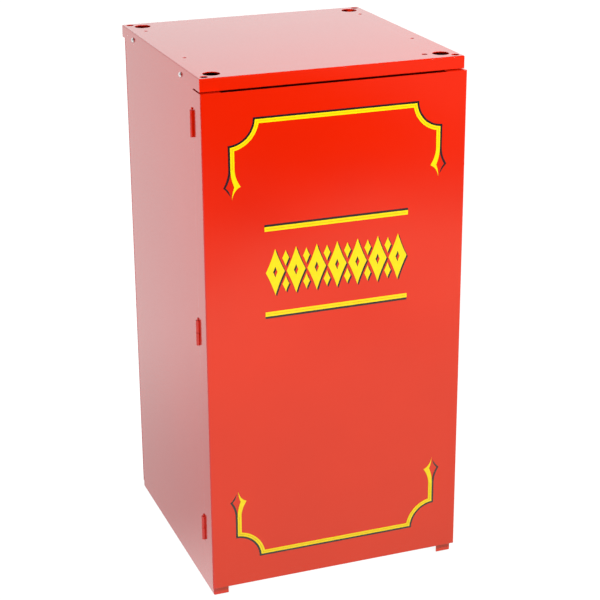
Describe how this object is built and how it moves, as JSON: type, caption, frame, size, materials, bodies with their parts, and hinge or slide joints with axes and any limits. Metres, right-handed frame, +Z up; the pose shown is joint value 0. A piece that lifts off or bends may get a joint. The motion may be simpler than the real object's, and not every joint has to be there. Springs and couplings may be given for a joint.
{
  "type": "popcorn machine stand",
  "caption": "Red sheet-steel pedestal cabinet for a countertop popcorn machine: flanged tray top, hinged front door with printed scroll borders, inner shelf and short toes.",
  "frame": {"origin": "on the floor, on the cabinet's centre plane and under the middle of its overall depth", "axes": "+Z up; +Y from the door to the back; +X to the right of someone facing the door, so the hinges are on the -X side"},
  "size_m": [0.3945, 0.3968, 0.775],
  "materials": {
    "red_enamel": "gloss powder coat",
    "zinc_plate": "bright zinc",
    "black_plastic": "fine matte",
    "ferrite": "sintered",
    "yellow_print": "gloss ink",
    "dark_print": "gloss ink"
  },
  "bodies": {
    "cabinet": {"back_panel": "red_enamel", "back_rivet_left_lower": "zinc_plate", "back_rivet_left_middle": "zinc_plate", "back_rivet_left_upper": "zinc_plate", "back_rivet_right_lower": "zinc_plate", "back_rivet_right_middle": "zinc_plate", "back_rivet_right_upper": "zinc_plate", "catch_housing": "black_plastic", "catch_magnet": "ferrite", "catch_screw_lower": "zinc_plate", "catch_screw_upper": "zinc_plate", "floor_pan": "red_enamel", "left_side_panel": "red_enamel", "lower_hinge_frame_leaf": "red_enamel", "lower_hinge_pin": "red_enamel", "mid_shelf": "red_enamel", "middle_hinge_frame_leaf": "red_enamel", "middle_hinge_pin": "red_enamel", "right_side_panel": "red_enamel", "shelf_bracket_left_front": "red_enamel", "shelf_bracket_left_rear": "red_enamel", "shelf_bracket_right_front": "red_enamel", "shelf_bracket_right_rear": "red_enamel", "top_tray": "red_enamel", "tray_rivet_left_front": "zinc_plate", "tray_rivet_left_rear": "zinc_plate", "tray_rivet_right_front": "zinc_plate", "tray_rivet_right_rear": "zinc_plate", "upper_hinge_frame_leaf": "red_enamel", "upper_hinge_pin": "red_enamel"},
    "door": {"door_panel": "red_enamel", "door_stiffener": "red_enamel", "lower_border_band": "yellow_print", "lower_border_line": "dark_print", "lower_hinge_door_leaf": "red_enamel", "lower_rule_band": "yellow_print", "lower_rule_line": "dark_print", "middle_hinge_door_leaf": "red_enamel", "ornament_1": "yellow_print", "ornament_2": "yellow_print", "ornament_3": "yellow_print", "ornament_4": "yellow_print", "ornament_5": "yellow_print", "ornament_6": "yellow_print", "ornament_7": "yellow_print", "upper_border_band": "yellow_print", "upper_border_line": "dark_print", "upper_hinge_door_leaf": "red_enamel", "upper_rule_band": "yellow_print", "upper_rule_line": "dark_print"}
  },
  "joints": [
    {"name": "door_hinge", "type": "hinge", "parent": "cabinet", "child": "door", "pos_m": [-0.1951, -0.1613, 0.403], "axis": [0, 0, -1], "range_deg": [0, 175]}
  ]
}
